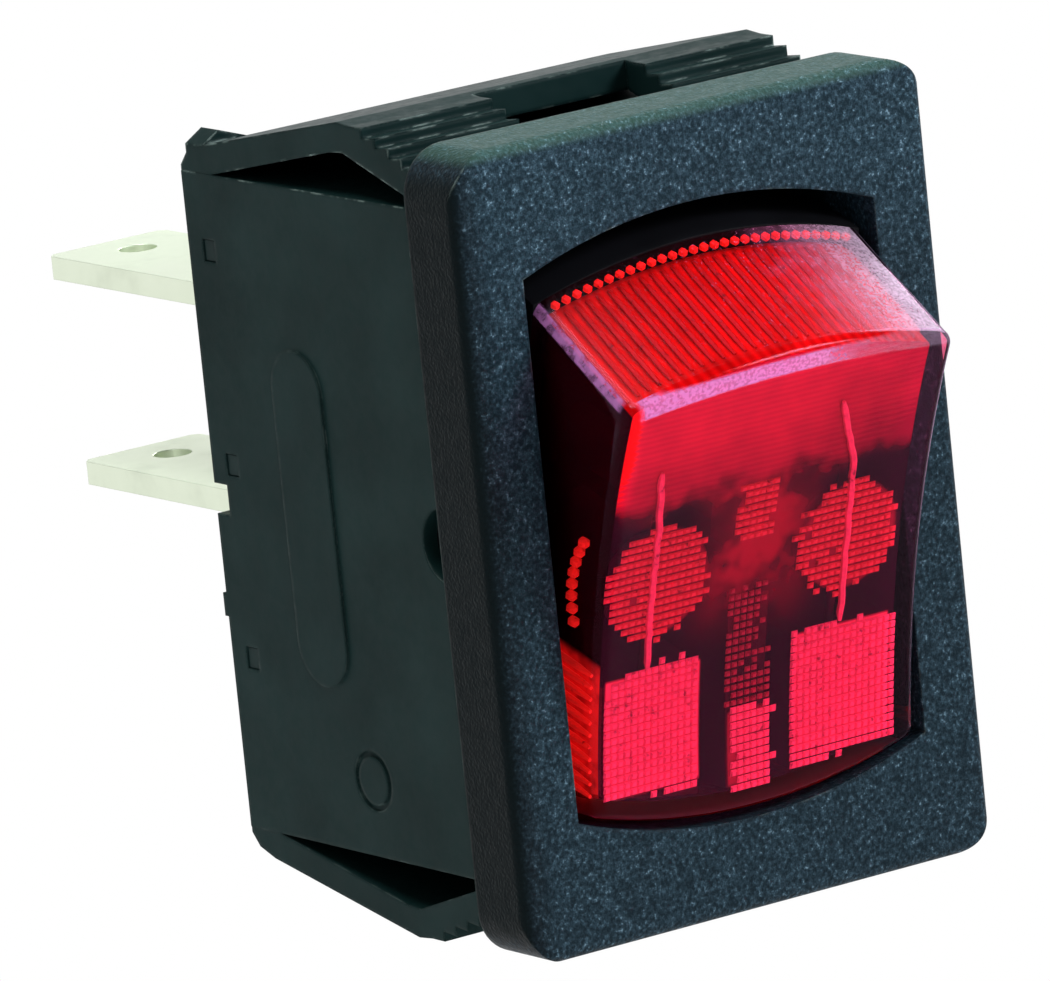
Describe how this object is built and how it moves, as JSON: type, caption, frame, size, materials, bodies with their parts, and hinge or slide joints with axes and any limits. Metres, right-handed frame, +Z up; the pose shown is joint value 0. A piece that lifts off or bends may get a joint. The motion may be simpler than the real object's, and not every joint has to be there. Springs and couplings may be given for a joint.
{
  "type": "panel rocker switch",
  "caption": "Snap-in panel rocker switch with a lit red rocker, black bezel and body, serrated snap wings and flat push-on terminals at the rear.",
  "frame": {"origin": "middle of the bezel's back face, which seats on the front of the panel", "axes": "+X to the right across the switch as seen from its face, +Y rearwards through the panel along the terminals, +Z up along the bezel's longer side"},
  "size_m": [0.019, 0.0326, 0.0274],
  "materials": {
    "housing_plastic": "black nylon, fine spark texture on the bezel's face, smooth on the body",
    "base_plastic": "black thermoset, smooth",
    "carrier_plastic": "black nylon, smooth",
    "red_lens": "transparent red polycarbonate, glossy, finely ribbed inside",
    "holder_plastic": "pale moulded nylon",
    "lamp_glass": "small tubular lamp",
    "resistor_body": "coated ceramic",
    "tinned_brass": "bright tin plate on brass, slightly dull",
    "contact_silver": "silver alloy",
    "blade_copper": "copper alloy strip",
    "tinned_wire": "tinned copper wire",
    "spring_steel": "drawn spring wire",
    "plunger_metal": "turned and polished"
  },
  "bodies": {
    "switch_body": {"housing": "housing_plastic", "terminal_base": "base_plastic", "terminal_line_left": "tinned_brass", "terminal_line_right": "tinned_brass", "terminal_load_left": "tinned_brass", "terminal_load_right": "tinned_brass", "fixed_contact_left": "contact_silver", "fixed_contact_right": "contact_silver"},
    "rocker": {"rocker_carrier": "carrier_plastic", "rocker_lens": "red_lens", "lamp_holder": "holder_plastic", "lamp": "lamp_glass", "resistor": "resistor_body", "lamp_lead_left": "tinned_wire", "lamp_lead_right": "tinned_wire", "plunger_spring_left": "spring_steel", "plunger_spring_right": "spring_steel"},
    "blade_left": {"contact_blade_left": "blade_copper", "moving_contact_left": "contact_silver"},
    "blade_right": {"contact_blade_right": "blade_copper", "moving_contact_right": "contact_silver"},
    "plunger_left": {"plunger_left": "plunger_metal"},
    "plunger_right": {"plunger_right": "plunger_metal"}
  },
  "joints": [
    {"name": "rocker_pivot", "type": "hinge", "parent": "switch_body", "child": "rocker", "pos_m": [0, 0.0013, 0], "axis": [-1, 0, 0], "range_deg": [0, 35]},
    {"name": "blade_left_rock", "type": "hinge", "parent": "switch_body", "child": "blade_left", "pos_m": [0, 0.0104, -0.00025], "axis": [-1, 0, 0], "range_deg": [-8.75, 0]},
    {"name": "blade_right_rock", "type": "hinge", "parent": "switch_body", "child": "blade_right", "pos_m": [0, 0.0104, -0.00025], "axis": [-1, 0, 0], "range_deg": [-8.75, 0]},
    {"name": "plunger_left_slide", "type": "slide", "parent": "rocker", "child": "plunger_left", "axis": [0, -0.9537, -0.3007], "range_m": [0, 0.0005], "stiffness_N_per_m": 300, "springref_m": -0.002, "deforming": ["plunger_spring_left"]},
    {"name": "plunger_right_slide", "type": "slide", "parent": "rocker", "child": "plunger_right", "axis": [0, -0.9537, -0.3007], "range_m": [0, 0.0005], "stiffness_N_per_m": 300, "springref_m": -0.002, "deforming": ["plunger_spring_right"]}
  ],
  "couplings": [
    {"joint": "blade_left_rock", "follows": "rocker_pivot", "ratio": -0.25},
    {"joint": "blade_right_rock", "follows": "rocker_pivot", "ratio": -0.25}
  ]
}
